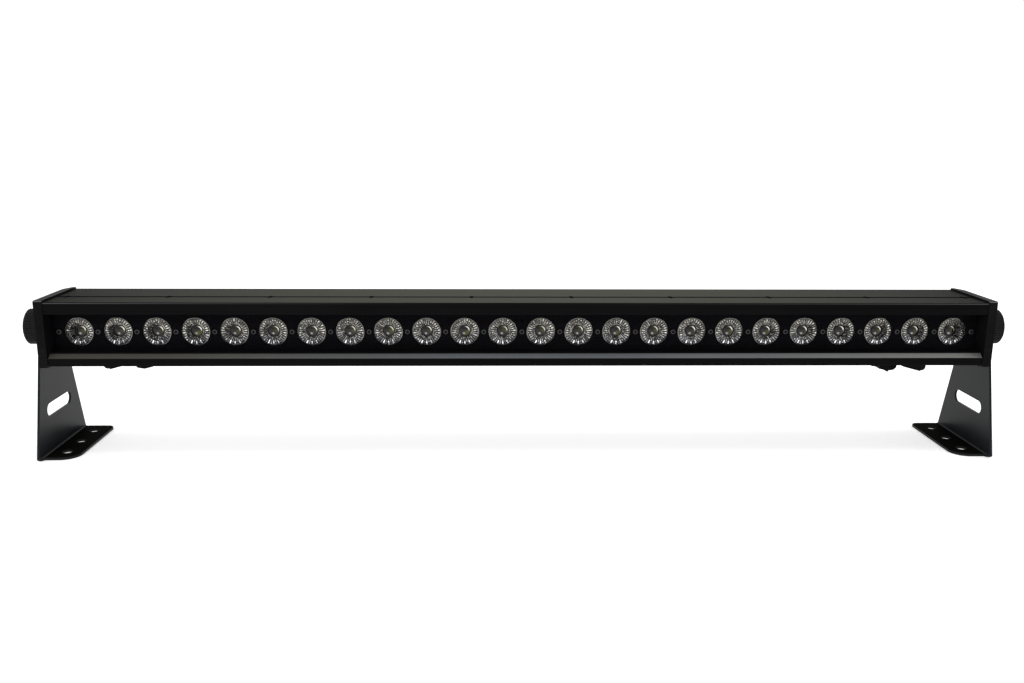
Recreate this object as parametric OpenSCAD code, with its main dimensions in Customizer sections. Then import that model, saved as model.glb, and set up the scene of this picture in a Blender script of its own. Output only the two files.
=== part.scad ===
// LED strip batten: a one-metre linear floodlight on two swinging floor brackets.
// X runs along the batten, -Y is the side that shines, +Z is up.
// The origin is on the floor, under the middle of the knob axis.

/* [Body] */
// Length over the two end plates
body_len = 990; // [986:1:996]
// Height of the knob axis above the floor
pivot_h = 132; // [126:1:150]
// Height of the extruded housing
housing_h = 67; // [67:0.5:69]
// Depth from the front lips to the tips of the cooling ribs
housing_d = 86; // [86:0.5:88]
// Thickness of the outer walls
wall = 2.5; // [2:0.1:2.8]
// Height of the knob axis above the row of lenses
lens_drop = 1; // [0:0.5:2]
// Number of cooling ribs up the back
rib_count = 10; // [6:1:11]

/* [End plates] */
// Thickness of an end plate
plate_t = 8.5; // [7.5:0.5:9]
// How far an end plate stands proud of the housing, above and below
plate_lip = 1.7; // [1:0.1:2.5]
// Length of the cut-back at the rear outer corner, along Y
plate_cut_y = 15; // [8:1:20]
// Depth of the cut-back at the rear outer corner, along X
plate_cut_x = 6.5; // [3:0.5:6.5]
// Thickness of the end gaskets
gasket_t = 1; // [0.6:0.1:1.4]

/* [Lenses] */
// Number of lenses
lens_count = 24; // [24:1:24]
// Distance between lens centres
lens_pitch = 40; // [39:0.5:40]
// Diameter of the windows in the lens panel
window_d = 30; // [27:0.5:31]
// Thickness of the lens panel
panel_t = 2; // [1.5:0.5:2.5]
// How far the lens panel is set back from the front lips
recess = 20; // [18:0.5:21]
// Diameter of the pit in the middle of a lens
pit_d = 12; // [8:0.5:13]
// Depth of that pit
pit_depth = 7; // [4:0.5:8]

/* [Seam] */
// Number of screws along each seam
seam_count = 10; // [6:1:12]
// Width of the seam groove
groove_w = 5.5; // [5.5:0.1:6]
// Depth of the seam groove
groove_d = 1.3; // [1:0.1:1.5]

/* [Brackets] */
// Sheet thickness of the brackets
sheet = 2.5; // [2:0.5:3]
// Width of a foot, out to the bracket's outer face
foot_w = 36; // [30:1:40]
// Half the width of the upright at the knob axis
upright_half = 25.5; // [24:0.5:28]
// Reach of the upright's lower end in front of the knob axis
upright_front = 58.5; // [56:0.5:62]
// Reach of a foot in front of the knob axis
foot_front = 49.5; // [47:0.5:52]
// Reach of a foot behind the knob axis
foot_rear = 61; // [58:0.5:64]
// Length of the slot in the upright
slot_l = 59; // [50:1:60]
// Height of that slot
slot_h = 14; // [10:1:15]
// Height of the slot's middle above the floor
slot_z = 47; // [40:1:50]
// Diameter of the holes in the foot
foot_hole_d = 11; // [9:0.5:12]
// Distance between neighbouring foot holes
foot_pitch = 36; // [34:1:37]
// Thickness of the friction pads
pad_t = 2.4; // [2:0.1:3]

/* [Knobs] */
// Diameter of a knob over its ribs
knob_d = 37.6; // [34:0.2:40]
// Distance from the bracket to a knob's outer face
knob_l = 20; // [17:0.5:22]
// Number of ribs round a knob
knob_ribs = 48; // [36:1:54]
// Diameter of the studs
stud_d = 8; // [6:1:8]

/* [Sockets] */
// Distance of the power sockets from the middle
power_x = 436; // [434:1:438]
// Distance of the data sockets from the middle
data_x = 401.5; // [396:0.5:402]
// Distance of the sockets behind the knob axis
socket_y = 14; // [13:1:16]
// Depth of the collars on the two inlets
inlet_collar = 6.2; // [5:0.1:6.2]
// Depth of the collars on the two outlets
outlet_collar = 2.9; // [2.9:0.1:5]

/* [Controls] */
// Diameter of the button caps
button_d = 7.2; // [6:0.2:8]
// Distance between the buttons
button_pitch = 18; // [14:1:20]
// Width of the display window
display_w = 42; // [30:1:50]
// Height of the display window
display_h = 14; // [10:1:15]

/* [Hidden] */
$fn = 64;
BUTTONS = ["menu", "up", "down", "enter"];
SIDES = ["left", "right"];

function lens_name(i) = str("lens_", i < 10 ? "0" : "", i);
function lens_x(i) = (i - (lens_count + 1) / 2) * lens_pitch;

gap = 0.2;
eps = 0.01;
half_h = housing_h / 2;
half_d = housing_d / 2;
half_len = body_len / 2;
plate_in = half_len - plate_t;
housing_end = plate_in - gasket_t;
front_y = -half_d;

// Lens recess
bead_r = 1.15;
lip_step = 0.6;
lip_y = front_y + lip_step;
recess_top = 22 - lens_drop;
recess_floor = -19.5 - lens_drop;
panel_y = front_y + recess;
panel_back = panel_y + panel_t;
sill_run = 6;
sill_fall = 5;
nose_t = 0.8;
inner_wall = 2;

// Web that carries the boards and takes their heat
lens_l = 12;
board_t = 1.6;
web_t = 4;
board_front = panel_back + lens_l + 1.5;
web_front = board_front + board_t;
web_back = web_front + web_t;

// Seam between the two housings
seam_y = -9.5;
seam_front = seam_y - groove_w / 2;
seam_rear = seam_y + groove_w / 2;
flange_t = 1.7;
flange_top = half_h - groove_d;
ledge_top = flange_top - flange_t;
ledge_low = 25;
ledge_front = seam_front - 3.75;
seam_end = half_len - 20;
seam_pitch = 2 * seam_end / (seam_count - 1);

// Back wall, ribs and screw channels
rib_l = 6;
rib_t = 2;
back_wall = 3;
back_y = half_d - rib_l;
back_in = back_y - back_wall;
rib_pitch = (housing_h - rib_t) / (rib_count - 1);
channel_r = 3.4;
front_channel = [lip_y + wall + channel_r - 0.4, half_h - wall - channel_r + 0.2];
rear_channel = [back_in - channel_r + 0.4, half_h - wall - channel_r + 0.2];
web_channel = [web_front - 1, half_h - 6.5];
channels = [for (v = [-1, 1], c = [front_channel, rear_channel, web_channel]) [c[0], v * c[1]]];

// Fasteners
screw_r = 1.45;
screw_hole = 1.5;
csk_r = 2.4;
pan_r = 2.8;
pan_h = 1.6;
plate_screws = [-17, 28];
plate_sink = 2.2;

// Brackets and pivot
bracket_out = half_len + pad_t + 0.1 + sheet;
bend_in = 1.5;
bend_out = bend_in + sheet;
foot_in = bracket_out - foot_w;
bore_r = stud_d / 2 + 0.06;
foot_hole_x = bracket_out - 19;
foot_shift = 7;
foot_front_r = 18;
foot_rear_r = 8;
upright_shift = -1.5;
washer_t = 1.4;
washer_r = 10;
stud_reach = 14;
stud_root = 6;
knob_clear = 0.4;
knob_bevel = 0.7;
knob_rib_w = 1.2;
knob_rib_h = 0.9;
knob_dish = 0.8;
pad_r = 17;
lock_hole = [-15, -37.5];
lock_hole_r = 4;

// Sockets and their covers
flange_w = 31;
flange_d = 26;
flange_lip = 2;
collar_r = 11.8;
mouth_r = 10;
hinge_x = 11;
ear_in = 3.4;
ear_w = 3;
pin_r = 1.2;
ear_r = 2.6;
contact_top = 15.5;
contact_turns = [90, 210, 330];
socket_places_x = [-power_x, -data_x, data_x, power_x];
cover_gap = 0.3;
power_pin_in = -14.5;
power_pin_out = power_pin_in + inlet_collar - outlet_collar;
data_pin_in = -10.8;
data_pin_out = data_pin_in + inlet_collar - outlet_collar;
data_collar_in = inlet_collar - 1.5;
data_collar_out = outlet_collar - 1.5;

// Control panel
window_v = 9;
button_v = -9;
panel_w = 100;
panel_h = 46;
cp_t = 2.5;

// Helpers

module along_x(len) {
    rotate([90, 0, 90]) linear_extrude(len, center = true) children();
}

module along_y(len) {
    rotate([90, 0, 0]) linear_extrude(len, center = true) children();
}

module at_axis() {
    translate([0, 0, pivot_h]) children();
}

// Turn a shape that points along +Z so that it points along -Y, or along +Y
module facing_front() {
    rotate([90, 0, 0]) children();
}

module facing_back() {
    rotate([-90, 0, 0]) children();
}

// Round bar along X, its middle at c = [y, z]
module rod_x(len, r, c) {
    translate([0, c[0], c[1]]) rotate([0, 90, 0]) cylinder(h = len, r = r, center = true);
}

module round_rect(w, h, r) {
    square([w - 2 * r, h], center = true);
    square([w, h - 2 * r], center = true);
    for (x = [-1, 1], y = [-1, 1])
        translate([x * (w / 2 - r), y * (h / 2 - r)]) circle(r);
}

module on_side(side) {
    if (side == "left") mirror([1, 0, 0]) children();
    if (side == "right") children();
}

// Countersunk screw, head flush with z = 0, shank downwards
module csk_screw(len) {
    translate([0, 0, -1.2]) cylinder(h = 1.2, r1 = screw_r, r2 = csk_r - 0.1);
    translate([0, 0, -len]) cylinder(h = len - 1, r = screw_r);
}

module csk_hole(len) {
    translate([0, 0, -1.2]) cylinder(h = 1.2 + eps, r1 = screw_hole, r2 = csk_r);
    translate([0, 0, -len]) cylinder(h = len + eps, r = screw_hole);
}

// Pan-head screw sitting on z = 0, shank downwards, with a cross recess
module pan_screw(len) {
    difference() {
        union() {
            cylinder(h = pan_h * 0.55, r = pan_r);
            translate([0, 0, pan_h * 0.55]) cylinder(h = pan_h * 0.45, r1 = pan_r, r2 = pan_r * 0.66);
            translate([0, 0, -len]) cylinder(h = len, r = screw_r);
        }
        for (a = [0, 90]) rotate([0, 0, a])
            translate([-1.5, -0.3, pan_h - 0.8]) cube([3, 0.6, 1]);
    }
}

module seam_places() {
    for (i = [0:seam_count - 1])
        translate([-seam_end + i * seam_pitch, seam_y, 0]) children();
}

module panel_screw_places() {
    for (i = [0:lens_count])
        translate([(i - lens_count / 2) * lens_pitch, panel_y, -lens_drop]) children();
}

module lens_places() {
    for (i = [1:lens_count]) translate([lens_x(i), 0, -lens_drop]) children();
}

// Housings

module front_outline() {
    nose_v = recess_floor - sill_fall - nose_t;
    polygon([
        [front_y + bead_r, half_h],
        [seam_front, half_h],
        [seam_front, ledge_top],
        [web_back, ledge_top],
        [web_back, -ledge_top],
        [seam_front, -ledge_top],
        [seam_front, -half_h],
        [lip_y + 1, -half_h],
        [lip_y, -half_h + 1],
        [lip_y, nose_v],
        [front_y, nose_v],
        [front_y, recess_floor - sill_fall],
        [front_y + sill_run, recess_floor],
        [web_front, recess_floor],
        [web_front, recess_top],
        [lip_y, recess_top],
        [lip_y, half_h - bead_r],
        [front_y + bead_r, half_h - bead_r]
    ]);
}

// The two closed hollows behind the lips
module upper_hollow() {
    polygon([
        [lip_y + wall, recess_top + inner_wall],
        [ledge_front, recess_top + inner_wall],
        [ledge_front, half_h - wall],
        [lip_y + wall, half_h - wall]
    ]);
}

module lower_hollow() {
    polygon([
        [lip_y + wall, -half_h + wall],
        [lip_y + wall, recess_floor - sill_fall - 0.3],
        [front_y + sill_run + 1.3, recess_floor - inner_wall],
        [ledge_front, recess_floor - inner_wall],
        [ledge_front, -half_h + wall]
    ]);
}

module front_housing() {
    color([0.09, 0.09, 0.10]) at_axis() difference() {
        union() {
            difference() {
                along_x(2 * housing_end) front_outline();
                along_x(body_len) upper_hollow();
                along_x(body_len) lower_hollow();
            }
            rod_x(2 * housing_end, bead_r, [front_y + bead_r, half_h - bead_r]);
            for (v = [-1, 1])
                rod_x(2 * housing_end, channel_r, [front_channel[0], v * front_channel[1]]);
        }
        for (c = channels) rod_x(body_len, screw_hole, c);
        for (v = [0, 1]) mirror([0, 0, v]) seam_places()
            translate([0, 0, ledge_low]) cylinder(h = ledge_top - ledge_low + 1, r = screw_hole);
        panel_screw_places() translate([0, web_front - panel_y - 1, 0]) facing_back()
            cylinder(h = 4, r = screw_hole);
    }
}

// Top wall of the rear housing with its flange in the seam groove and its screw channel
module rear_edge() {
    along_x(2 * housing_end) polygon([
        [seam_rear, half_h],
        [half_d - 1.5, half_h],
        [half_d, half_h - 1.5],
        [half_d, half_h - wall],
        [seam_rear + 1, half_h - wall],
        [seam_rear + 1, ledge_top],
        [seam_front + gap, ledge_top],
        [seam_front + gap, flange_top],
        [seam_rear, flange_top]
    ]);
    rod_x(2 * housing_end, channel_r, rear_channel);
}

module cooling_rib() {
    along_x(2 * housing_end) translate([back_y - 1, -rib_t / 2]) square([rib_l, rib_t]);
    rod_x(2 * housing_end, rib_t / 2, [half_d - 1, 0]);
}

module rear_housing() {
    color([0.10, 0.10, 0.11]) at_axis() difference() {
        union() {
            for (v = [0, 1]) mirror([0, 0, v]) rear_edge();
            translate([-housing_end, back_in, -half_h + 1])
                cube([2 * housing_end, back_wall, housing_h - 2]);
            for (i = [1:rib_count - 2])
                translate([0, 0, -half_h + rib_t / 2 + i * rib_pitch]) cooling_rib();
        }
        for (c = channels) rod_x(body_len, screw_hole, c);
        for (v = [0, 1]) mirror([0, 0, v]) seam_places()
            translate([0, 0, flange_top]) csk_hole(flange_t + 1);
        // Pocket for the control panel and the opening behind it
        translate([-panel_w / 2 - 1, back_y, -panel_h / 2 - 1]) cube([panel_w + 2, 10, panel_h + 2]);
        translate([-40, back_in - 1, -16]) cube([80, 10, 32]);
        panel_corner_places() facing_front() cylinder(h = 20, r = screw_hole, center = true);
        // Holes for the four sockets and their screws
        for (x = socket_places_x) translate([x, socket_y, -half_h]) {
            cylinder(h = 12, r = collar_r + 0.3, center = true);
            socket_screw_places() cylinder(h = 12, r = screw_hole, center = true);
        }
    }
}

module plate_outline() {
    round_rect(housing_d + 1, housing_h + 2 * plate_lip, 2);
}

// Right-hand end plate: outer face at half_len
module end_plate() {
    at_axis() difference() {
        translate([half_len - plate_t / 2, 0, 0]) along_x(plate_t) plate_outline();
        // Rear outer corner cut back
        linear_extrude(housing_h * 2, center = true) polygon([
            [half_len, half_d + 0.5 - plate_cut_y],
            [half_len + 2, half_d + 0.5 - plate_cut_y],
            [half_len + 2, half_d + 3],
            [half_len - plate_cut_x, half_d + 3],
            [half_len - plate_cut_x, half_d + 0.5]
        ]);
        // Fine line across the front edge, level with the sill
        translate([half_len - plate_t - 1, front_y - 1.3, recess_floor - 1.3])
            cube([plate_t + 2, 1.2, 0.8]);
        translate([half_len - stud_root, 0, 0]) rotate([0, 90, 0])
            cylinder(h = stud_root + 4, r = stud_d / 2 + 0.03);
        for (c = channels) translate([half_len, c[0], c[1]]) rotate([0, 90, 0]) {
            translate([0, 0, -plate_sink]) cylinder(h = plate_sink + 2, r = pan_r + 0.4);
            cylinder(h = 2 * plate_t + 2, r = screw_hole + 0.1, center = true);
        }
        for (v = plate_screws) translate([half_len - plate_t / 2, -half_d - 0.5, v]) facing_front()
            csk_hole(4.5);
    }
}

module end_plate_left() {
    color([0.11, 0.11, 0.12]) on_side("left") end_plate();
}

module end_plate_right() {
    color([0.11, 0.11, 0.12]) on_side("right") end_plate();
}

module end_gaskets() {
    color([0.05, 0.05, 0.05]) at_axis() for (s = [-1, 1])
        translate([s * (housing_end + gasket_t / 2), 0, 0]) along_x(gasket_t) difference() {
            square([housing_d - 2, housing_h - 2], center = true);
            translate([-half_d - 1, recess_floor - sill_fall])
                square([web_front + half_d + 1, recess_top - recess_floor + sill_fall]);
            translate([web_back + 1, -ledge_low + 1])
                square([back_in - web_back - 7, 2 * ledge_low - 2]);
            for (c = channels) translate(c) circle(screw_hole + 0.1);
        }
}

// Fasteners

module panel_corner_places() {
    for (x = [-1, 1], v = [-1, 1])
        translate([x * (panel_w / 2 - 4), back_y + cp_t, v * (panel_h / 2 - 4)]) children();
}

module socket_screw_places() {
    for (s = [-1, 1]) translate([s * 12.4, s * 9.6, 0]) children();
}

module casing_screws() {
    color([0.20, 0.20, 0.21]) at_axis() {
        for (s = [0, 1]) mirror([s, 0, 0]) {
            for (c = channels) translate([half_len - plate_sink, c[0], c[1]]) rotate([0, 90, 0])
                pan_screw(16);
            for (v = plate_screws) translate([half_len - plate_t / 2, -half_d - 0.5, v]) facing_front()
                csk_screw(4);
        }
        panel_corner_places() facing_back() pan_screw(8);
        for (x = socket_places_x)
            translate([x, socket_y, -half_h - flange_lip]) socket_screw_places()
                mirror([0, 0, 1]) pan_screw(8);
    }
}

module seam_screws() {
    color([0.16, 0.16, 0.17]) at_axis() for (v = [0, 1]) mirror([0, 0, v])
        seam_places() translate([0, 0, flange_top]) csk_screw(6);
}

module lens_panel_screws() {
    color([0.22, 0.22, 0.23]) at_axis() panel_screw_places() facing_front()
        pan_screw(web_front - panel_y + 2);
}

// Light engine

module lens_panel() {
    color([0.05, 0.05, 0.055]) at_axis() difference() {
        translate([-housing_end + gap, panel_y, recess_floor + gap])
            cube([2 * (housing_end - gap), panel_t, recess_top - recess_floor - 2 * gap]);
        lens_places() translate([0, panel_y, 0]) facing_front()
            cylinder(h = 10, r = window_d / 2, center = true);
        panel_screw_places() facing_front() cylinder(h = 10, r = screw_hole + 0.1, center = true);
        // Peephole of the remote receiver
        translate([0, panel_y, 12 - lens_drop]) facing_front() cylinder(h = 10, r = 1.2, center = true);
    }
}

// A lens lies along its axis, front face up at z = 0
module lens_body() {
    front_r = window_d / 2 - 0.3;
    pit_r = pit_d / 2;
    rotate_extrude() polygon([
        [0, -pit_depth + 1],
        [pit_r * 0.6, -pit_depth + 0.7],
        [pit_r - 0.7, -pit_depth],
        [pit_r, -0.6],
        [pit_r + 1, 0],
        [front_r - 0.8, 0],
        [front_r, -0.8],
        [front_r, -1.4],
        [front_r + 1.2, -1.4],
        [front_r + 1.2, -2.8],
        [front_r - 0.6, -2.8],
        [10.5, -9],
        [5.2, -13.9],
        [3.4, -13.9],
        [3.4, -11.4],
        [0, -10.6]
    ]);
}

module lens(i) {
    color([0.80, 0.82, 0.84, 0.45]) at_axis()
        translate([lens_x(i), panel_back - 1.4, -lens_drop]) facing_front() lens_body();
}

module led_emitters() {
    color([0.85, 0.80, 0.45]) at_axis() lens_places()
        translate([0, board_front, 0]) facing_front() {
            translate([-2, -2, 0]) cube([4, 4, 0.8]);
            translate([0, 0, 0.5]) intersection() {
                sphere(1.6);
                cylinder(h = 2, r = 2);
            }
        }
}

module led_boards() {
    board_l = 12 * lens_pitch - 5.5;
    color([0.75, 0.76, 0.74]) at_axis() for (s = [-1, 1]) difference() {
        translate([s * (board_l / 2 + 2.5), board_front + board_t / 2, -lens_drop])
            cube([board_l, board_t, 30], center = true);
        panel_screw_places() facing_front() cylinder(h = 60, r = 2, center = true);
    }
}

module power_supply() {
    color([0.62, 0.63, 0.65]) at_axis() translate([-230, 18.5, 0]) difference() {
        cube([200, 29, 46], center = true);
        for (i = [0:11], v = [-1, 1])
            translate([-66 + i * 12, 0, v * 23]) cube([6, 20, 2], center = true);
        translate([96, 0, 0]) cube([12, 24, 36], center = true);
    }
}

module control_board() {
    board_y = 26;
    color([0.10, 0.30, 0.18]) at_axis() {
        translate([-46, board_y - 1.6, -20]) cube([92, 1.6, 40]);
        translate([-18, board_y - eps, window_v - 6]) cube([36, 5, 12]);
        for (i = [0:3]) translate([(i - 1.5) * button_pitch - 3, board_y - eps, button_v - 3])
            cube([6, 4, 6]);
        for (i = [0:3]) translate([(i - 1.5) * button_pitch, board_y + 3.9, button_v])
            facing_back() cylinder(h = 0.6, r = 1.5);
        translate([-8, board_y - 3.4, -8]) cube([14, 1.9, 14]);
        translate([20, board_y - 11, -14]) cube([16, 9.5, 24]);
    }
}

// Controls

module control_panel() {
    color([0.07, 0.07, 0.08]) at_axis() difference() {
        translate([0, back_y + cp_t / 2, 0]) along_y(cp_t) round_rect(panel_w, panel_h, 3);
        translate([0, back_y, window_v]) cube([display_w - 4, 20, display_h - 4], center = true);
        translate([0, back_y + cp_t, window_v]) cube([display_w + gap, 2, display_h + gap], center = true);
        for (i = [0:3]) translate([(i - 1.5) * button_pitch, back_y, button_v]) facing_front()
            cylinder(h = 20, r = button_d / 2 + 0.3, center = true);
        panel_corner_places() facing_front() cylinder(h = 20, r = screw_hole + 0.1, center = true);
    }
}

module display_window() {
    color([0.03, 0.03, 0.04, 0.8]) at_axis() translate([0, back_y + cp_t - 0.4, window_v])
        along_y(1.2) round_rect(display_w, display_h, 0.5);
}

module button(i) {
    color([0.14, 0.14, 0.15]) at_axis()
        translate([(i - 1.5) * button_pitch, back_y, button_v]) facing_back() {
            translate([0, 0, -1.3]) cylinder(h = 1, r = button_d / 2 + 1);
            translate([0, 0, -0.5]) cylinder(h = cp_t + 1.9, r = button_d / 2);
            translate([0, 0, cp_t + 1.4]) cylinder(h = 0.6, r1 = button_d / 2, r2 = button_d / 2 - 0.6);
            translate([0, 0, -5]) cylinder(h = 4, r = 1.6);
        }
}

// Sockets

// A socket in its own frame: z = 0 is the underside of the housing, and the mouth
// looks down. Its cover is hinged on the +X side.
module at_socket(x, turn) {
    translate([x, socket_y, pivot_h - half_h]) rotate([0, 0, turn]) children();
}

module socket_shell(collar, pin_z) {
    low = -flange_lip - collar;
    difference() {
        union() {
            translate([0, 0, -flange_lip]) linear_extrude(flange_lip) round_rect(flange_w, flange_d, 3);
            translate([0, 0, low]) cylinder(h = collar + 1, r = collar_r);
            cylinder(h = 20, r = collar_r);
            for (s = [-1, 1]) translate([hinge_x, s * (ear_in + ear_w / 2), 0]) {
                translate([0, 0, pin_z]) rotate([90, 0, 0]) cylinder(h = ear_w, r = ear_r, center = true);
                translate([-ear_r, -ear_w / 2, pin_z]) cube([2 * ear_r, ear_w, -pin_z - flange_lip + 0.5]);
            }
        }
        translate([0, 0, low - 1]) cylinder(h = collar + flange_lip + 15, r = mouth_r);
        socket_screw_places() cylinder(h = 50, r = screw_hole, center = true);
        socket_screw_places() translate([0, 0, -flange_lip - 30]) cylinder(h = 30, r = pan_r + 0.2);
    }
    translate([hinge_x, 0, pin_z]) rotate([90, 0, 0])
        cylinder(h = 2 * (ear_in + ear_w), r = pin_r, center = true);
}

// Round core with blade contacts standing in the mouth
module blade_contacts(low) {
    for (a = contact_turns) rotate([0, 0, a]) translate([5, 0, 0])
        translate([-0.6, -1.5, low]) cube([1.2, 3, contact_top - low]);
}

module pin_contacts(low) {
    for (a = contact_turns) rotate([0, 0, a]) translate([4.2, 0, low])
        cylinder(h = contact_top - low, r = 1);
}

module core_with_holes(low, core_r, hole_r) {
    difference() {
        translate([0, 0, low]) cylinder(h = contact_top - low, r = core_r);
        for (a = contact_turns) rotate([0, 0, a]) translate([4.2, 0, low - 1])
            cylinder(h = 10, r = hole_r);
    }
}

module power_inlet() {
    color([0.12, 0.16, 0.30]) at_socket(power_x, 0) {
        socket_shell(inlet_collar, power_pin_in);
        blade_contacts(-3);
    }
}

module power_outlet() {
    color([0.45, 0.45, 0.46]) at_socket(-power_x, 180) {
        socket_shell(outlet_collar, power_pin_out);
        core_with_holes(0, 7, 1.4);
    }
}

module data_inlet() {
    color([0.13, 0.13, 0.14]) at_socket(data_x, 180) {
        socket_shell(data_collar_in, data_pin_in);
        pin_contacts(-1);
    }
}

module data_outlet() {
    color([0.13, 0.13, 0.14]) at_socket(-data_x, 0) {
        socket_shell(data_collar_out, data_pin_out);
        core_with_holes(1, 7.5, 1.3);
    }
}

// Side views of the covers: flat top under the collar, sloping underside
module power_cover_side(top, pin_z) {
    polygon([
        [-15, top],
        [5.5, top],
        [9, pin_z + 3.8],
        [hinge_x, pin_z],
        [hinge_x, pin_z - 4.6],
        [-14, pin_z + 2.1],
        [-15, pin_z + 3.1]
    ]);
}

module data_cover_side(top, pin_z) {
    polygon([
        [-15, top],
        [6, top],
        [9.6, pin_z + 2.4],
        [hinge_x, pin_z],
        [hinge_x, pin_z - 2.8],
        [-3, pin_z - 6.2],
        [-10, pin_z - 5.2],
        [-15, pin_z - 1.6]
    ]);
}

// Lid with its hinge barrel, which runs on the socket's pin
module hinged_cover(pin_z, barrel_r) {
    barrel_l = 2 * ear_in - 0.6;
    difference() {
        union() {
            intersection() {
                along_y(30) children();
                translate([0, 0, -30]) linear_extrude(30) round_rect(30, 24, 5);
                union() {
                    translate([-24.2, -15, -30]) cube([30, 30, 30]);
                    translate([-15, -barrel_l / 2, -30]) cube([30, barrel_l, 30]);
                }
            }
            translate([hinge_x, 0, pin_z]) rotate([90, 0, 0])
                cylinder(h = barrel_l, r = barrel_r, center = true);
        }
        translate([hinge_x, 0, pin_z]) rotate([90, 0, 0])
            cylinder(h = 40, r = pin_r + 0.06, center = true);
    }
}

module power_cover(collar, pin_z) {
    top = -flange_lip - collar - cover_gap;
    hinged_cover(pin_z, 4.6) power_cover_side(top, pin_z);
}

module data_cover(collar, pin_z, tab) {
    top = -flange_lip - collar - cover_gap;
    hinged_cover(pin_z, 2.8) data_cover_side(top, pin_z);
    translate([-8, -4, pin_z - 5.2 - tab]) cube([2, 8, tab + 1]);
}

module power_inlet_cover() {
    color([0.06, 0.06, 0.06]) at_socket(power_x, 0) power_cover(inlet_collar, power_pin_in);
}

module power_outlet_cover() {
    color([0.06, 0.06, 0.06]) at_socket(-power_x, 180) power_cover(outlet_collar, power_pin_out);
}

module data_inlet_cover() {
    color([0.06, 0.06, 0.06]) at_socket(data_x, 180) data_cover(data_collar_in, data_pin_in, 4);
}

module data_outlet_cover() {
    color([0.06, 0.06, 0.06]) at_socket(-data_x, 0) data_cover(data_collar_out, data_pin_out, 1);
}

// Brackets and knobs

module upright_outline() {
    drop = pivot_h - bend_out;
    front_a = atan((upright_front - upright_half + upright_shift) / drop);
    rear_a = atan((foot_rear - upright_half - upright_shift) / drop);
    top_r = upright_half * cos(rear_a);
    difference() {
        union() {
            translate([upright_shift, pivot_h]) circle(top_r);
            polygon([
                [-upright_front, bend_out],
                [foot_rear, bend_out],
                [upright_shift + top_r * cos(rear_a), pivot_h + top_r * sin(rear_a)],
                [upright_shift - top_r * cos(front_a), pivot_h + top_r * sin(front_a)]
            ]);
        }
        translate([0, slot_z]) slot_shape();
        translate([0, pivot_h]) circle(bore_r);
        // Locating hole for a fixed angle
        translate([lock_hole[0], pivot_h + lock_hole[1]]) circle(lock_hole_r);
    }
}

module slot_shape() {
    square([slot_l - slot_h, slot_h], center = true);
    for (s = [-1, 1]) translate([s * (slot_l - slot_h) / 2, 0]) circle(slot_h / 2);
}

module foot_outline() {
    bend_x = bracket_out - bend_out;
    foot_y = foot_front + foot_rear;
    front_x = foot_in + foot_front_r;
    rear_x = foot_in + foot_rear_r;
    difference() {
        union() {
            translate([foot_in, -foot_front + foot_front_r])
                square([bend_x - foot_in, foot_y - foot_front_r - foot_rear_r]);
            translate([front_x, -foot_front]) square([bend_x - front_x, foot_front_r + 1]);
            translate([rear_x, foot_rear - foot_rear_r - 1]) square([bend_x - rear_x, foot_rear_r + 1]);
            translate([front_x, -foot_front + foot_front_r]) circle(foot_front_r);
            translate([rear_x, foot_rear - foot_rear_r]) circle(foot_rear_r);
        }
        for (i = [-1:1]) translate([foot_hole_x, foot_shift + i * foot_pitch]) circle(foot_hole_d / 2);
    }
}

module bracket() {
    bend_x = bracket_out - bend_out;
    bend_y = upright_front + foot_rear;
    translate([bracket_out - sheet / 2, 0, 0]) along_x(sheet) upright_outline();
    intersection() {
        linear_extrude(sheet) foot_outline();
        translate([0, -200, -1]) cube([bend_x, 400, 10]);
    }
    intersection() {
        translate([bend_x, foot_rear, bend_out]) rotate([90, 0, 0]) difference() {
            cylinder(h = bend_y, r = bend_out);
            translate([0, 0, -1]) cylinder(h = bend_y + 2, r = bend_in);
        }
        // The front edge of the bend slants back to the shorter foot
        linear_extrude(bend_out) polygon([
            [bend_x, -foot_front],
            [bracket_out, -upright_front],
            [bracket_out, foot_rear],
            [bend_x, foot_rear]
        ]);
    }
}

module bracket_left() {
    color([0.13, 0.13, 0.14]) on_side("left") bracket();
}

module bracket_right() {
    color([0.13, 0.13, 0.14]) on_side("right") bracket();
}

module knob() {
    core_r = knob_d / 2 - knob_rib_h;
    rib_start = knob_clear + 0.3;
    rib_end = knob_l - knob_bevel - 0.2;
    at_axis() translate([bracket_out, 0, 0]) rotate([0, 90, 0]) difference() {
        union() {
            rotate_extrude() polygon([
                [0, knob_clear],
                [core_r, knob_clear],
                [core_r, knob_l - knob_bevel],
                [core_r - knob_bevel, knob_l],
                [0, knob_l]
            ]);
            for (i = [0:knob_ribs - 1]) rotate([0, 0, i * 360 / knob_ribs])
                translate([core_r - 1, -knob_rib_w / 2, rib_start])
                    cube([knob_rib_h + 1, knob_rib_w, rib_end - rib_start]);
        }
        // Room for the washer and the stud
        translate([0, 0, -1]) cylinder(h = 1 + washer_t + 0.1, r = washer_r + 0.6);
        translate([0, 0, -1]) cylinder(h = stud_reach + 2.5, r = stud_d / 2 + 0.05);
        // Shallow dish in the outer face
        translate([0, 0, knob_l - knob_dish]) cylinder(h = 2, r = core_r - 5);
    }
}

module knob_left() {
    color([0.08, 0.08, 0.085]) on_side("left") knob();
}

module knob_right() {
    color([0.08, 0.08, 0.085]) on_side("right") knob();
}

module knob_washer() {
    at_axis() translate([bracket_out + 0.05, 0, 0]) rotate([0, 90, 0]) difference() {
        cylinder(h = washer_t, r = washer_r);
        translate([0, 0, -1]) cylinder(h = 5, r = stud_d / 2 + 0.09);
    }
}

module knob_washer_left() {
    color([0.60, 0.60, 0.62]) on_side("left") knob_washer();
}

module knob_washer_right() {
    color([0.60, 0.60, 0.62]) on_side("right") knob_washer();
}

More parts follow.
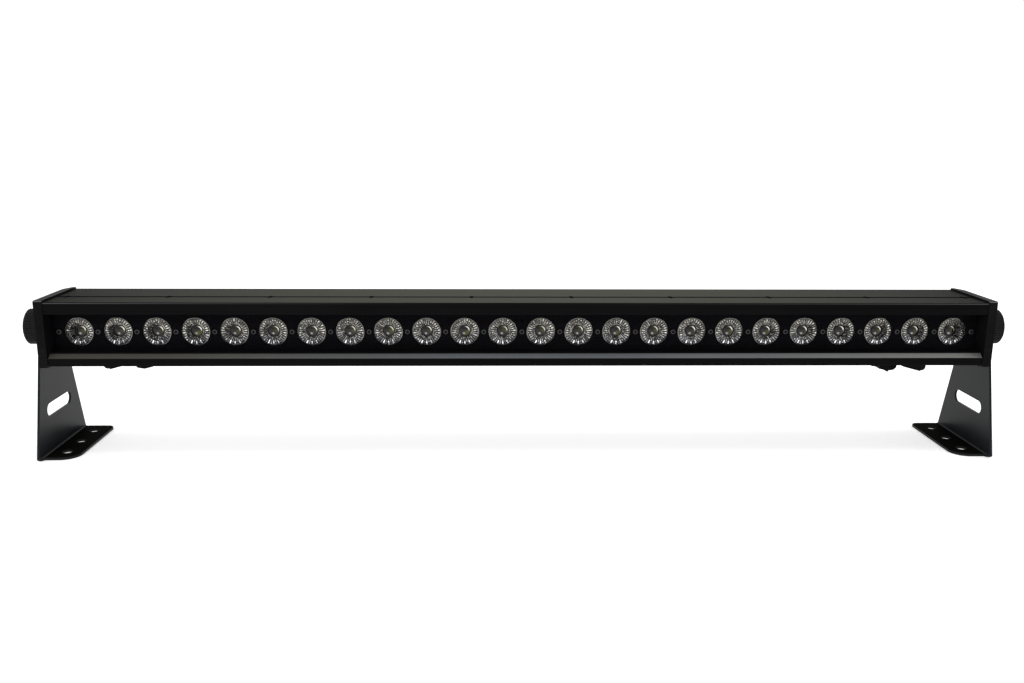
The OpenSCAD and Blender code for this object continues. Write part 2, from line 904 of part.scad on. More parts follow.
module friction_pad() {
    at_axis() translate([half_len, 0, 0]) rotate([0, 90, 0]) difference() {
        cylinder(h = pad_t, r = pad_r);
        translate([0, 0, -1]) cylinder(h = 5, r = stud_d / 2 + 0.3);
    }
}

module friction_pad_left() {
    color([0.05, 0.05, 0.05]) on_side("left") friction_pad();
}

module friction_pad_right() {
    color([0.05, 0.05, 0.05]) on_side("right") friction_pad();
}

module pivot_studs() {
    color([0.65, 0.65, 0.67]) at_axis() for (s = [0, 1]) mirror([s, 0, 0])
        translate([half_len - stud_root, 0, 0]) rotate([0, 90, 0])
            cylinder(h = bracket_out - half_len + stud_root + stud_reach, r = stud_d / 2);
}

// Nodes

front_housing();
rear_housing();
end_plate_left();
end_plate_right();
end_gaskets();
casing_screws();
seam_screws();
lens_panel();
lens_panel_screws();
for (i = [1:lens_count]) lens(i);
led_emitters();
led_boards();
power_supply();
control_board();
control_panel();
display_window();
for (i = [0:3]) button(i);
power_inlet();
power_outlet();
data_inlet();
data_outlet();
power_inlet_cover();
power_outlet_cover();
data_inlet_cover();
data_outlet_cover();
bracket_left();
bracket_right();
knob_left();
knob_right();
knob_washer_left();
knob_washer_right();
friction_pad_left();
friction_pad_right();
pivot_studs();
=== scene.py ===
import math
import random

import bmesh
import bpy
from mathutils import Matrix, Vector


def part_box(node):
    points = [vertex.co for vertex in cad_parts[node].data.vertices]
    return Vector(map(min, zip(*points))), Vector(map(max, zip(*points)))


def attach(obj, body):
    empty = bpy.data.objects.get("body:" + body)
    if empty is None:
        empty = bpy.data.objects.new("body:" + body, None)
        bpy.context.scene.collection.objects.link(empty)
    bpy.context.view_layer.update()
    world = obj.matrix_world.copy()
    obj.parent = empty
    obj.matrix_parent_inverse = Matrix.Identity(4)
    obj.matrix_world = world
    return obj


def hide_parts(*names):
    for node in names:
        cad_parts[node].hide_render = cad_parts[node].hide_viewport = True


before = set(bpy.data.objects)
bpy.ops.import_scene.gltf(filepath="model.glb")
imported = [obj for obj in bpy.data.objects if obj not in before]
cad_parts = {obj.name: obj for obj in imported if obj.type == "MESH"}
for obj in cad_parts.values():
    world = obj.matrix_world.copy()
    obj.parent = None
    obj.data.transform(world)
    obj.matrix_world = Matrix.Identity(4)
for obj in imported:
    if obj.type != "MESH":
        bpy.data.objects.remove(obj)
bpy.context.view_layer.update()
print("batten loaded:", len(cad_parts), "nodes")


# a value or colour in a finish, so that sums between masks read as plain sums
class Value:
    def __init__(self, finish, socket):
        self.finish = finish
        self.socket = socket

    def sum(self, operation, first, second):
        return self.finish.add("ShaderNodeMath", {"operation": operation}, {0: first, 1: second})

    def __add__(self, other):
        return self.sum("ADD", self, other)

    def __radd__(self, other):
        return self.sum("ADD", other, self)

    def __sub__(self, other):
        return self.sum("SUBTRACT", self, other)

    def __rsub__(self, other):
        return self.sum("SUBTRACT", other, self)

    def __mul__(self, other):
        return self.sum("MULTIPLY", self, other)

    def __rmul__(self, other):
        return self.sum("MULTIPLY", other, self)


class Finish:
    def __init__(self, name):
        self.material = bpy.data.materials.new(name)
        self.material.use_nodes = True
        self.tree = self.material.node_tree
        self.tree.nodes.clear()

    # any node: its settings go in first, then its sockets
    def add(self, kind, settings=None, values=None, out=0):
        node = self.tree.nodes.new(kind)
        for key, setting in (settings or {}).items():
            if key == "stops":
                self.fillRamp(node.color_ramp, setting)
            else:
                setattr(node, key, setting)
        for key, value in (values or {}).items():
            if isinstance(value, Value):
                self.tree.links.new(value.socket, node.inputs[key])
            else:
                node.inputs[key].default_value = value
        return Value(self, node.outputs[out]) if node.outputs else None

    def fillRamp(self, ramp, stops):
        while len(ramp.elements) < len(stops):
            ramp.elements.new(0.5)
        for element, (place, tone) in zip(ramp.elements, stops):
            element.position = place
            element.color = (tone, tone, tone, 1)

    def place(self, stretch=(1, 1, 1)):
        where = self.add("ShaderNodeTexCoord", out="Object")
        return self.add("ShaderNodeMapping", {}, {"Vector": where, "Scale": stretch})

    def along(self, axis):
        return self.add("ShaderNodeSeparateXYZ", {}, {"Vector": self.place()}, axis)

    def cloud(self, scale, detail=3, stretch=(1, 1, 1), rough=0.5):
        return self.add("ShaderNodeTexNoise", {}, {"Vector": self.place(stretch), "Scale": scale,
                                                    "Detail": detail, "Roughness": rough}, "Fac")

    def ramp(self, value, *stops):
        return self.add("ShaderNodeValToRGB", {"stops": stops}, {"Fac": value})

    # 1 between two distances along an axis, 0 outside them
    def band(self, axis, start, end, soft=0.00015):
        wide = end - start + 4 * soft
        part = (self.along(axis) - (start - 2 * soft)) * (1 / wide)
        low, full = soft / wide, 3 * soft / wide
        return self.ramp(part, (low, 0.0), (full, 1.0), (1 - full, 1.0), (1 - low, 0.0))

    def tint(self, amount, low, high):
        return self.add("ShaderNodeMix", {"data_type": "RGBA"}, {0: amount, 6: low, 7: high}, 2)

    def blend(self, first, second):
        settings = {"data_type": "RGBA", "blend_type": "MULTIPLY"}
        return self.add("ShaderNodeMix", settings, {0: 1.0, 6: first, 7: second}, 2)

    # 1 on faces that look up, 0 on the others
    def upward(self):
        facing = self.add("ShaderNodeNewGeometry", out="Normal")
        up = self.add("ShaderNodeSeparateXYZ", {}, {"Vector": facing}, "Z")
        return self.ramp(up, (0.75, 0.0), (0.95, 1.0))

    # 1 along the edges of a piece, 0 on its faces
    def edges(self, radius, start=0.02, end=0.3):
        rounded = self.add("ShaderNodeBevel", {"samples": 4}, {"Radius": radius})
        flat = self.add("ShaderNodeNewGeometry", out="True Normal")
        same = self.add("ShaderNodeVectorMath", {"operation": "DOT_PRODUCT"}, {0: rounded, 1: flat}, "Value")
        return self.ramp(1 - same, (start, 0.0), (end, 1.0))

    # a relief over softened edges
    def relief(self, height, strength, depth, radius=0.0):
        values = {"Height": height, "Strength": strength, "Distance": depth}
        if radius:
            values["Normal"] = self.add("ShaderNodeBevel", {"samples": 4}, {"Radius": radius})
        return self.add("ShaderNodeBump", {}, values)

    def surface(self, values):
        return self.add("ShaderNodeBsdfPrincipled", {}, values, "BSDF")

    def close(self, values, second=None, share=None):
        shader = self.surface(values)
        if second:
            shader = self.add("ShaderNodeMixShader", {}, {0: share, 1: shader, 2: self.surface(second)})
        self.add("ShaderNodeOutputMaterial", {}, {"Surface": shader})
        return self.material


def paint(finish, *nodes):
    for node in nodes:
        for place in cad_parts[node].material_slots:
            place.material = finish


def nodesNamed(*words):
    return [node for node in sorted(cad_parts) if any(word in node for word in words)]


def grey(tone, blue=1.0):
    return (tone, tone, tone * blue, 1)


# extruded body: black anodised with the die's fine lines along it, dusty on top under a painted sheen, paler edges as
# painted highlights with wear, and a brushed strip on the sill whose colour is a painted reflection
bodyLook = {"dark": grey(0.0030, 1.1), "pale": grey(0.0060, 1.05), "edge": grey(0.035), "gloss": 0.28,
            "dustAndSheenMiddle": (0.036, 0.036, 0.027, 1), "dustAndShadeEnds": (0.002, 0.002, 0.001, 1), "edgeRadius": 0.0004,
            "sillDepth": (0.0003, 0.0055), "sillHeight": (0.0084, 0.0124),
            "sillLeft": (0.060, 0.058, 0.048, 1), "sillMiddle": (0.080, 0.086, 0.092, 1),
            "sillRight": (0.140, 0.142, 0.136, 1), "sillEdgeHighlight": grey(0.20),
            "beadHighlight": grey(0.05, 1.08), "beadDepth": (-0.001, 0.0024), "beadDrop": (0.0015, 0.0006),
            "screwPitch": 0.95 / 9, "screwSpot": 0.0062, "squeeze": 2.6}


# painted shade round the seam screws, standing in for their countersinks; the screws stand one pitch apart along the
# top and the bottom
def seamScrewShade(finish):
    low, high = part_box("seam_screws")
    half = bodyLook["screwPitch"] / 2
    across = finish.add("ShaderNodeMath", {"operation": "WRAP"}, {0: finish.along("X") + half, 1: half, 2: -half})
    across = across * bodyLook["squeeze"]
    deep = finish.along("Y") - (low.y + high.y) / 2
    radius = finish.add("ShaderNodeMath", {"operation": "SQRT"}, {0: across * across + deep * deep})
    return finish.ramp(radius * 100, (bodyLook["screwSpot"] * 90, 1.0), (bodyLook["screwSpot"] * 110, 0.0))


def anodised(name, sill):
    finish = Finish(name)
    dieLines = finish.cloud(1, 4, (2.5, 1500, 1500), 0.65)
    patches = finish.cloud(7, 3, (1, 2, 2))
    wornAndLitEdges = finish.cloud(160, 5)
    edge = finish.edges(bodyLook["edgeRadius"])
    tone = finish.tint(finish.ramp(dieLines * 0.6 + patches * 0.4, (0.35, 0.0), (0.68, 1.0)),
                       bodyLook["dark"], bodyLook["pale"])
    across = finish.along("X")
    # painted sheen on the top: the dust colour is paler over the middle and darker towards the ends, for the light
    # falling there
    ends = finish.ramp(across * across * 4, (0.0, 0.0), (0.9, 1.0))
    dust = finish.tint(ends, bodyLook["dustAndSheenMiddle"], bodyLook["dustAndShadeEnds"])
    roof = finish.upward() * finish.ramp(finish.along("Z") * 5, (0.7, 0.0), (0.8, 1.0))
    tone = finish.tint(roof * (0.55 + dieLines * 0.4 + patches * 0.4), tone, dust)
    # paler along the edges: painted highlights, with some handling wear
    colour = finish.tint(edge * (0.25 + wornAndLitEdges * 0.4), tone, bodyLook["edge"])
    shine = edge * 0.3
    if sill:
        low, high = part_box("front_housing")
        (front, back), (foot, head) = bodyLook["sillDepth"], bodyLook["sillHeight"]
        # brushed strip on the sill, its colour a painted reflection: paler towards the right, with painted highlights
        # along its edges
        strip = finish.band("Y", low.y + front, low.y + back) * finish.band("Z", low.z + foot, low.z + head)
        broad = finish.cloud(9, 2, (1, 0.01, 0.01)) * 0.16 + dieLines * 0.1 + across - 0.13
        toMiddle = finish.ramp(broad + 0.5, (0.1, 0.0), (0.45, 1.0))
        toRight = finish.ramp(broad + 0.5, (0.6, 0.0), (0.95, 1.0))
        sillBrushedSheen = finish.tint(toMiddle, bodyLook["sillLeft"], bodyLook["sillMiddle"])
        sillBrushedSheen = finish.tint(toRight, sillBrushedSheen, bodyLook["sillRight"])
        sillBrushedSheen = finish.tint(edge * 0.5, sillBrushedSheen, bodyLook["sillEdgeHighlight"])
        colour = finish.tint(strip, colour, sillBrushedSheen)
        shine = shine + strip * 0.6
        # painted highlight along the top front bead, stronger towards the ends
        (front, back), (under, over) = bodyLook["beadDepth"], bodyLook["beadDrop"]
        beadHighlight = finish.band("Y", low.y + front, low.y + back) * finish.band("Z", high.z - under, high.z - over)
        colour = finish.tint(beadHighlight * ends, colour, bodyLook["beadHighlight"])
    glossy = {"Base Color": colour, "Metallic": shine, "IOR": 1.035,
              "Roughness": bodyLook["gloss"] + dieLines * 0.1 + patches * 0.06,
              "Normal": finish.relief(dieLines, 0.12, 0.0001, bodyLook["edgeRadius"])}
    # a darker matte copy of the finish, mixed in round the seam screws as painted shade
    countersinkShade = {"Base Color": finish.tint(patches, grey(0.002), grey(0.005)), "IOR": 1.002,
            "Roughness": 0.6 + patches * 0.1}
    return finish.close(glossy, countersinkShade, seamScrewShade(finish))


paint(anodised("blackAnodised", False), "rear_housing")
paint(anodised("blackAnodisedSill", True), "front_housing")


# cast end plates under a fine powder coat, with painted highlights along their edges and along the top front edge
plateLook = {"dark": grey(0.0032, 1.1), "pale": grey(0.0060, 1.05), "edge": grey(0.05),
             "topEdgeHighlight": grey(0.13), "line": 0.0010, "edgeRadius": 0.0005}


def castPlate():
    finish = Finish("castPlate")
    peel = finish.cloud(1500, 3)
    patches = finish.cloud(30, 3)
    edge = finish.edges(plateLook["edgeRadius"])
    tone = finish.tint(finish.ramp(patches, (0.35, 0.0), (0.65, 1.0)), plateLook["dark"], plateLook["pale"])
    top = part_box("end_plate_left")[1].z
    front = finish.ramp((finish.along("Y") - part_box("end_plate_left")[0].y) * 100, (0.1, 1.0), (0.3, 0.0))
    # painted highlight along the top front edge
    topEdgeHighlight = finish.band("Z", top - plateLook["line"], top + 0.001) * (1 - finish.upward()) * front
    colour = finish.tint(edge * 0.45, tone, plateLook["edge"])
    colour = finish.tint(topEdgeHighlight * (0.5 + patches * 0.5), colour, plateLook["topEdgeHighlight"])
    return finish.close({"Base Color": colour, "Roughness": 0.34 + peel * 0.12,
                         "IOR": 1.07, "Metallic": edge * 0.3,
                         "Normal": finish.relief(peel, 0.2, 0.00012, plateLook["edgeRadius"])})


paint(castPlate(), "end_plate_left", "end_plate_right")


# bent steel brackets: satin powder coat, paler along the cut edges as wear and painted highlight, and a darker matte
# copy on the foot tops as painted shade
bracketLook = {"dark": (0.0055, 0.0060, 0.0070, 1), "pale": (0.0105, 0.0112, 0.0128, 1), "edge": grey(0.07),
               "foot": (0.0035, 0.0036, 0.0030, 1), "edgeRadius": 0.0004}


def powderCoat():
    finish = Finish("satinPowderCoat")
    peel = finish.cloud(900, 2)
    speck = finish.cloud(2600, 4)
    patches = finish.cloud(14, 3)
    rubbed = finish.cloud(120, 5)
    edge = finish.edges(bracketLook["edgeRadius"], 0.03, 0.3)
    tone = finish.tint(finish.ramp(patches * 0.6 + speck * 0.4, (0.35, 0.0), (0.7, 1.0)),
                       bracketLook["dark"], bracketLook["pale"])
    # paler cut edges: wear and painted highlights
    wearAndHighlight = edge * finish.ramp(rubbed, (0.4, 0.2), (0.62, 0.8))
    bump = finish.relief(peel * 0.6 + speck * 0.4, 0.28, 0.00012, bracketLook["edgeRadius"])
    low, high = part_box("bracket_left")
    # the foot tops get a darker matte copy of the coat, as painted shade
    flat = finish.ramp((finish.along("Z") - low.z) * 200, (0.50, 1.0), (0.56, 0.0)) * finish.upward()
    glossy = {"Base Color": finish.tint(wearAndHighlight, tone, bracketLook["edge"]), "Metallic": wearAndHighlight * 0.3,
              "Roughness": 0.26 + peel * 0.1 + speck * 0.06, "IOR": 1.17, "Normal": bump}
    shadedFootMatte = {"Base Color": finish.tint(wearAndHighlight * 0.6, bracketLook["foot"], bracketLook["edge"]),
             "Roughness": 0.5 + peel * 0.1, "IOR": 1.02, "Normal": bump}
    return finish.close(glossy, shadedFootMatte, flat)


paint(powderCoat(), "bracket_left", "bracket_right")


# black sheet round the lenses and behind the buttons
sheetLook = {"dark": grey(0.0022, 1.25), "pale": grey(0.0045, 1.2), "edge": grey(0.03)}


def blackSheet(name, roughness):
    finish = Finish(name)
    brushed = finish.cloud(1, 4, (6, 900, 900), 0.6)
    dust = finish.cloud(420, 5)
    edge = finish.edges(0.0003)
    tone = finish.tint(finish.ramp(brushed * 0.5 + dust * 0.5, (0.4, 0.0), (0.66, 1.0)),
                       sheetLook["dark"], sheetLook["pale"])
    return finish.close({"Base Color": finish.tint(edge * 0.3, tone, sheetLook["edge"]),
                         "Roughness": roughness + brushed * 0.14, "IOR": 1.05,
                         "Normal": finish.relief(brushed, 0.1, 0.0001, 0.0003)})


paint(blackSheet("lensSheet", 0.42), "lens_panel")
paint(blackSheet("controlSheet", 0.36), "control_panel")


# screws and turned metal
def metal(name, dark, pale, worn, roughness, metallic, ior=1.45):
    finish = Finish(name)
    turned = finish.cloud(2200, 3)
    stain = finish.cloud(260, 4)
    edge = finish.edges(0.00025)
    tone = finish.tint(finish.ramp(stain, (0.35, 0.0), (0.65, 1.0)), dark, pale)
    return finish.close({"Base Color": finish.tint(edge * 0.35, tone, worn), "Metallic": metallic, "IOR": ior,
                         "Roughness": roughness + turned * 0.15,
                         "Normal": finish.relief(turned, 0.15, 0.00008, 0.00025)})


# lens panel screws stand one pitch apart, each with a paler ring round its head
screwLook = {"pitch": 0.04, "head": grey(0.004), "ring": grey(0.055), "inside": 0.0017, "outside": 0.0026}


def ringedScrews():
    finish = Finish("ringedScrews")
    grain = finish.cloud(2600, 3)
    low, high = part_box("lens_panel_screws")
    half = screwLook["pitch"] / 2
    across = finish.add("ShaderNodeMath", {"operation": "WRAP"}, {0: finish.along("X"), 1: half, 2: -half})
    up = finish.along("Z") - (low.z + high.z) / 2
    radius = finish.add("ShaderNodeMath", {"operation": "SQRT"}, {0: across * across + up * up})
    inside, outside = screwLook["inside"] * 300, screwLook["outside"] * 300
    ring = finish.ramp(radius * 300, (inside - 0.12, 0.0), (inside, 1.0), (outside - 0.06, 1.0), (outside, 0.0))
    colour = finish.tint(ring * (0.6 + grain * 0.6), screwLook["head"], screwLook["ring"])
    return finish.close({"Base Color": colour, "Roughness": 0.42 + grain * 0.15, "IOR": 1.12,
                         "Normal": finish.relief(grain, 0.15, 0.00008)})


paint(ringedScrews(), "lens_panel_screws")
paint(metal("blackOxide", grey(0.004), grey(0.008), grey(0.03), 0.36, 0.2, 1.1), "casing_screws")
paint(metal("seamOxide", grey(0.001), grey(0.002), grey(0.006), 0.6, 0.0, 1.005), "seam_screws")
paint(metal("zincPlate", grey(0.42), grey(0.62), grey(0.8), 0.25, 1.0), "pivot_studs", *nodesNamed("knob_washer"))


# moulded plastics and rubber
def moulded(name, dark, pale, worn, roughness, texture, ior=1.4):
    finish = Finish(name)
    spark = finish.cloud(texture, 3)
    flow = finish.cloud(45, 3)
    edge = finish.edges(0.0004)
    tone = finish.tint(finish.ramp(flow * 0.7 + spark * 0.3, (0.36, 0.0), (0.64, 1.0)), dark, pale)
    # edges take the worn colour: wear, and on the knobs a painted highlight along the ribs
    return finish.close({"Base Color": finish.tint(edge * 0.5, tone, worn), "Roughness": roughness + spark * 0.14,
                         "IOR": ior, "Normal": finish.relief(spark, 0.3, 0.00012, 0.0003)})


# the knobs' pale edge colour paints highlights along the ribs
paint(moulded("knobPlastic", grey(0.002), grey(0.004), grey(0.17), 0.4, 1800, 1.16), "knob_left", "knob_right")
paint(moulded("coverPlastic", grey(0.003), grey(0.006), grey(0.02), 0.4, 1500, 1.1), *nodesNamed("_cover"))
paint(moulded("socketPlastic", grey(0.004), grey(0.009), grey(0.03), 0.38, 1600, 1.15),
      "power_inlet", "power_outlet", "data_inlet", "data_outlet")
paint(moulded("buttonRubber", grey(0.045), grey(0.065), grey(0.11), 0.55, 2200), *nodesNamed("button_"))
paint(moulded("blackRubber", grey(0.003), grey(0.006), grey(0.02), 0.62, 1200, 1.1),
      "end_gaskets", *nodesNamed("friction_pad"))
print("body, brackets and fittings painted")


# boards, emitters and supply inside the body
def maskedBoard(name, dark, pale, copper, roughness):
    finish = Finish(name)
    flow = finish.cloud(60, 4)
    tracks = finish.add("ShaderNodeTexBrick", {"offset": 0.5},
                        {"Vector": finish.place(), "Scale": 130, "Mortar Size": 0.012,
                         "Color1": grey(0), "Color2": grey(0), "Mortar": grey(1)}, "Fac")
    tone = finish.tint(finish.ramp(flow, (0.35, 0.0), (0.65, 1.0)), dark, pale)
    return finish.close({"Base Color": finish.tint(tracks * 0.5, tone, copper), "Roughness": roughness + flow * 0.1,
                         "Coat Weight": 0.3, "Normal": finish.relief(tracks, 0.2, 0.0001)})


def phosphor():
    finish = Finish("phosphor")
    grains = finish.cloud(5200, 4)
    tone = finish.tint(finish.ramp(grains, (0.35, 0.0), (0.65, 1.0)), (0.62, 0.52, 0.12, 1), (0.82, 0.74, 0.3, 1))
    return finish.close({"Base Color": tone, "Roughness": 0.3 + grains * 0.2, "Coat Weight": 0.8})


def millSheet():
    finish = Finish("millSheet")
    rolled = finish.cloud(1, 4, (20, 700, 700), 0.6)
    edge = finish.edges(0.0004)
    tone = finish.tint(finish.ramp(rolled, (0.35, 0.0), (0.7, 1.0)), (0.42, 0.43, 0.44, 1), (0.6, 0.61, 0.62, 1))
    return finish.close({"Base Color": finish.tint(edge * 0.4, tone, grey(0.8)), "Metallic": 0.9,
                         "Roughness": 0.34 + rolled * 0.2, "Normal": finish.relief(rolled, 0.2, 0.0001, 0.0004)})


def smokedWindow():
    finish = Finish("smokedWindow")
    haze = finish.cloud(220, 4)
    tone = finish.tint(finish.ramp(haze, (0.4, 0.0), (0.7, 1.0)), (0.004, 0.005, 0.006, 1), (0.012, 0.013, 0.015, 1))
    return finish.close({"Base Color": tone, "Roughness": 0.06 + haze * 0.06, "Coat Weight": 0.5})


paint(maskedBoard("whiteBoard", (0.66, 0.67, 0.65, 1), (0.75, 0.76, 0.74, 1), (0.6, 0.6, 0.55, 1), 0.4), "led_boards")
paint(maskedBoard("greenBoard", (0.01, 0.075, 0.03, 1), (0.02, 0.12, 0.05, 1), (0.05, 0.2, 0.09, 1), 0.35),
      "control_board")
paint(phosphor(), "led_emitters")
paint(millSheet(), "power_supply")
paint(smokedWindow(), "display_window")
print("inner parts painted")


# lenses: clear mouldings with two rings of radial flutes round a deep pit, and a domed button at its bottom
lensShape = {"count": 24, "sectors": 60, "rim": 0.0147, "flange": 0.0159, "back": 0.0139, "pit": 0.0064,
             "button": 0.0053, "pitDepth": 0.0062, "dome": 0.0007, "seed": 11,
             "flutes": {"outer": (0.0136, 0.0104, 0.0004, 0.0001, 0.0002),
                        "inner": (0.0101, 0.0068, 0.0002, 0.0042, 0.0002)}}


# radius, depth, height of the flutes and kind of facet, from the back round the flange to the button
def lensRings():
    rim, flange, pit, button, deep = (lensShape[key] for key in ("rim", "flange", "pit", "button", "pitDepth"))
    rings = [(button, lensShape["back"], 0, "rim"), (pit * 1.6, 0.0090, 0, "rim"), (rim - 0.0006, 0.0028, 0, "rim"),
             (flange, 0.0028, 0, "rim"), (flange, 0.0014, 0, "rim"), (rim, 0.0014, 0, "rim"),
             (rim, 0.0010, 0, "rim"), (rim - 0.0002, 0.0004, 0, "rim"), (rim - 0.0006, 0.0003, 0, "groove")]
    for kind, (wide, narrow, start, end, height) in lensShape["flutes"].items():
        for step in range(4):
            rings.append((wide + (narrow - wide) * step / 3, start + (end - start) * step / 3, height, kind))
    rings += [(pit + 0.0001, deep - 0.0016, 0, "wall"), (pit - 0.0002, deep, 0, "floor"), (button, deep, 0, "floor")]
    for step in range(5):
        turn = math.pi / 2 * step / 5
        kind = ("arc", "blob", "blob", "core", "core")[step]
        rings.append((button * (1 - 0.2 * step) - 0.0002, deep - 0.0008 - lensShape["dome"] * math.sin(turn), 0, kind))
    return rings


# how pale a facet is painted, in place of real refraction: painted light and shade, with painted glints low on the
# outer ring, a painted highlight arc and blob on the button, painted shade on the inner ring's side away from the
# middle and on the pit floor; side runs from -1 at the left lens to 1 at the right
def facetTone(kind, sector, side, dice):
    turn = 2 * math.pi * sector / lensShape["sectors"]
    high, low = max(0.0, math.sin(turn)), max(0.0, -math.sin(turn))
    stripe = 1 if sector % 2 else -1
    if kind == "outer":
        glint = 0.45 if low > 0.8 and sector % 4 == 1 else 0.0
        return 0.34 - 0.14 * low + 0.04 * high + stripe * (0.26 - 0.12 * high) + glint + dice.uniform(-0.2, 0.2)
    if kind == "inner":
        shade = 0.5 * max(0.0, side * math.cos(turn)) ** 2
        return 0.42 - 0.12 * low + 0.06 * high - shade + stripe * (0.26 - 0.1 * high) + dice.uniform(-0.22, 0.22)
    if kind == "arc":
        return 0.08 + 0.8 * max(0.0, math.cos(turn - 0.7)) ** 2
    if kind == "blob":
        return 0.12 + 0.5 * max(0.0, math.cos(turn - 4.4)) ** 6
    return {"rim": 0.6, "groove": 0.1, "wall": 0.2 + 0.1 * stripe, "floor": 0.0, "core": 0.14}[kind]


def lensMesh(name, seed, side):
    dice = random.Random(seed)
    mesh = bmesh.new()
    tone = mesh.faces.layers.float.new("facetTone")
    warm = mesh.faces.layers.float.new("warmSpot")
    count, rings = lensShape["sectors"], lensRings()
    warmth, warmTurn = dice.uniform(0.2, 1.0), dice.uniform(-1.2, 0.8)
    turns = [2 * math.pi * (k - 0.5) / count for k in range(count)]
    loops = []
    for radius, depth, height, kind in rings:
        depths = [max(0.0, depth + (height if k % 2 else 0) + dice.uniform(-0.2, 0.2) * height) for k in range(count)]
        loops.append([mesh.verts.new((radius * math.cos(a), d, radius * math.sin(a))) for a, d in zip(turns, depths)])
    for inner, outer, (radius, depth, height, kind) in zip(loops, loops[1:], rings):
        for k in range(count):
            n = (k + 1) % count
            face = mesh.faces.new((inner[k], inner[n], outer[n], outer[k]))
            face[tone] = facetTone(kind, k, side, dice)
            if kind in ("arc", "blob", "core"):
                face[warm] = warmth * max(0.0, math.cos(turns[k] - warmTurn))
    mesh.faces.new(loops[-1])[tone] = 0.2
    mesh.faces.new(loops[0])[tone] = 0.3
    bmesh.ops.recalc_face_normals(mesh, faces=mesh.faces)
    data = bpy.data.meshes.new(name)
    mesh.to_mesh(data)
    mesh.free()
    return data


lensLook = {"warm": (1.0, 0.97, 0.87, 1), "cool": (0.95, 0.96, 1.0, 1), "spot": (0.10, 0.095, 0.012, 1)}


def clearLens():
    finish = Finish("clearLens")
    facet = finish.add("ShaderNodeAttribute", {"attribute_name": "facetTone"}, {}, "Fac")
    spot = finish.add("ShaderNodeAttribute", {"attribute_name": "warmSpot"}, {}, "Fac")
    haze = finish.cloud(900, 3)
    fleck = finish.ramp(facet + haze * 0.12 - 0.06, (0.0, 0.003), (0.2, 0.014), (0.4, 0.06), (0.6, 0.24), (0.8, 0.8),
                        (1.0, 1.0))
    # painted light: tinted warm towards the top and cool towards the bottom
    height = finish.ramp(finish.along("Z") * 33 + 0.5, (0.1, 0.0), (0.6, 1.0))
    colour = finish.blend(fleck, finish.tint(height, lensLook["cool"], lensLook["warm"]))
    colour = finish.tint(spot * 0.4, colour, lensLook["spot"])
    across, up = finish.along("X"), finish.along("Z")
    radius = finish.add("ShaderNodeMath", {"operation": "SQRT"}, {0: across * across + up * up})
    mirror = finish.ramp(radius * 50, (0.325, 0.92), (0.34, 0.15), (0.50, 0.15), (0.52, 0.92))
    return finish.close({"Base Color": colour, "Metallic": mirror, "Coat Weight": 0.35,
                         "Roughness": 0.12 + facet * 0.1})


lensFinish = clearLens()
for number in range(1, lensShape["count"] + 1):
    node = "lens_%02d" % number
    low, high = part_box(node)
    side = 2 * (number - 1) / (lensShape["count"] - 1) - 1
    data = lensMesh("lensMesh%02d" % number, lensShape["seed"] + number, side)
    data.materials.append(lensFinish)
    lens = bpy.data.objects.new("facetedLens%02d" % number, data)
    bpy.context.scene.collection.objects.link(lens)
    lens.location = ((low.x + high.x) / 2, low.y, (low.z + high.z) / 2)
    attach(lens, "housing")
    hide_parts(node)
print("lenses made")


# plain printed signs beside the buttons: list, up, down and round
signLook = {"size": 0.0026, "gap": 0.0085, "lift": 0.00006}


def signShapes():
    bars = [[(-1, rise - 0.18), (1, rise - 0.18), (1, rise + 0.18), (-1, rise + 0.18)] for rise in (0.7, 0, -0.7)]
    ring = []
    for k in range(20):
        a, b = 2 * math.pi * k / 20, 2 * math.pi * (k + 1) / 20
        ring.append([(math.cos(t) * r, math.sin(t) * r) for t, r in ((a, 0.65), (b, 0.65), (b, 0.95), (a, 0.95))])
    return {"button_menu": bars, "button_up": [[(-0.95, -0.6), (0.95, -0.6), (0, 0.9)]],
            "button_down": [[(-0.95, 0.6), (0.95, 0.6), (0, -0.9)]], "button_enter": ring}


def makeSigns():
    mesh = bmesh.new()
    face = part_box("control_panel")[1].y + signLook["lift"]
    for node, shapes in signShapes().items():
        low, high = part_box(node)
        middle, height = (low.x + high.x) / 2, (low.z + high.z) / 2 - signLook["gap"]
        for shape in shapes:
            corners = [(middle - x * signLook["size"], face, height + z * signLook["size"]) for x, z in shape]
            mesh.faces.new([mesh.verts.new(corner) for corner in corners])
    bmesh.ops.recalc_face_normals(mesh, faces=mesh.faces)
    data = bpy.data.meshes.new("buttonSigns")
    mesh.to_mesh(data)
    mesh.free()
    finish = Finish("printedWhite")
    worn = finish.cloud(1400, 4)
    ink = finish.tint(finish.ramp(worn, (0.4, 0.0), (0.7, 1.0)), grey(0.62), grey(0.75))
    data.materials.append(finish.close({"Base Color": ink, "Roughness": 0.5 + worn * 0.2}))
    signs = bpy.data.objects.new("buttonSigns", data)
    bpy.context.scene.collection.objects.link(signs)
    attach(signs, "housing")


makeSigns()


# floor, light and camera
studio = {"floor": grey(0.93), "glow": 0.25, "world": 1.02}


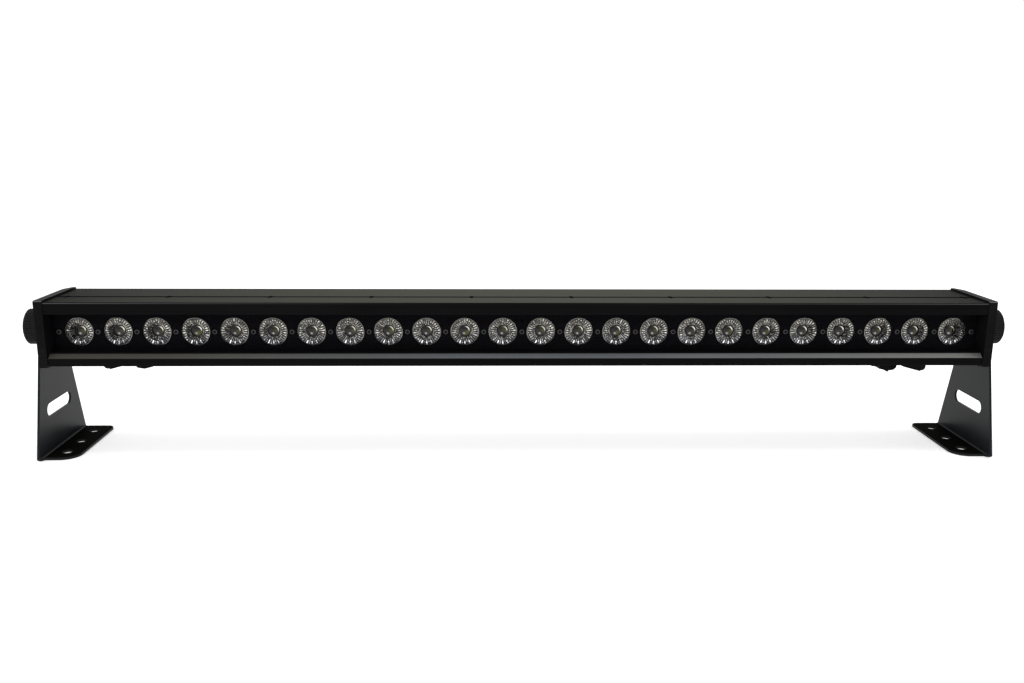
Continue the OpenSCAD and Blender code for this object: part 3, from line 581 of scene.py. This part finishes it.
def makeFloor():
    shape = bmesh.new()
    bmesh.ops.create_grid(shape, x_segments=8, y_segments=8, size=20)
    data = bpy.data.meshes.new("studioFloor")
    shape.to_mesh(data)
    shape.free()
    finish = Finish("palePaper")
    fibre = finish.cloud(900, 4)
    paper = finish.tint(fibre * 0.3, studio["floor"], grey(0.9))
    data.materials.append(finish.close({"Base Color": paper, "Roughness": 0.85, "Emission Color": grey(1),
                                        "Emission Strength": studio["glow"]}))
    floor = bpy.data.objects.new("studioFloor", data)
    bpy.context.scene.collection.objects.link(floor)
    floor.location.z = -0.0002


def softbox(name, place, aim, size, power):
    light = bpy.data.lights.new(name, "AREA")
    light.shape = "RECTANGLE"
    light.size, light.size_y = size
    light.energy = power
    lamp = bpy.data.objects.new(name, light)
    bpy.context.scene.collection.objects.link(lamp)
    lamp.location = place
    lamp.rotation_mode = "QUATERNION"
    lamp.rotation_quaternion = (Vector(aim) - Vector(place)).to_track_quat("-Z", "Y")


def makeWorld():
    world = bpy.data.worlds.new("paleRoom")
    world.use_nodes = True
    world.node_tree.nodes["Background"].inputs["Color"].default_value = (1, 1, 1, 1)
    world.node_tree.nodes["Background"].inputs["Strength"].default_value = studio["world"]
    bpy.context.scene.world = world


view = {"place": (-0.0424, -1.0114, 0.3444), "turn": -1.862, "tilt": -12.763, "lean": -0.386, "lens": 33.79}


def makeCamera():
    data = bpy.data.cameras.new("frontCamera")
    data.lens = view["lens"]
    data.sensor_width = 36
    data.clip_start, data.clip_end = 0.01, 60
    camera = bpy.data.objects.new("frontCamera", data)
    bpy.context.scene.collection.objects.link(camera)
    aim = (Matrix.Rotation(math.radians(view["turn"]), 3, "Z") @ Matrix.Rotation(math.radians(view["tilt"]), 3, "X")
           @ Matrix.Rotation(math.radians(view["lean"]), 3, "Y"))
    facing = Matrix((aim.col[0], aim.col[2], -aim.col[1])).transposed().to_4x4()
    camera.matrix_world = Matrix.Translation(view["place"]) @ facing
    bpy.context.scene.camera = camera


makeFloor()
makeWorld()
makeCamera()
softbox("overheadBox", (0.6, -0.12, 1.6), (0.6, -0.12, 0), (2.8, 0.6), 11)
softbox("frontBox", (-0.8, -1.4, 1.3), (0, 0, 0.1), (0.7, 0.7), 8)
bpy.context.scene.view_settings.view_transform = "Standard"
print("studio set")
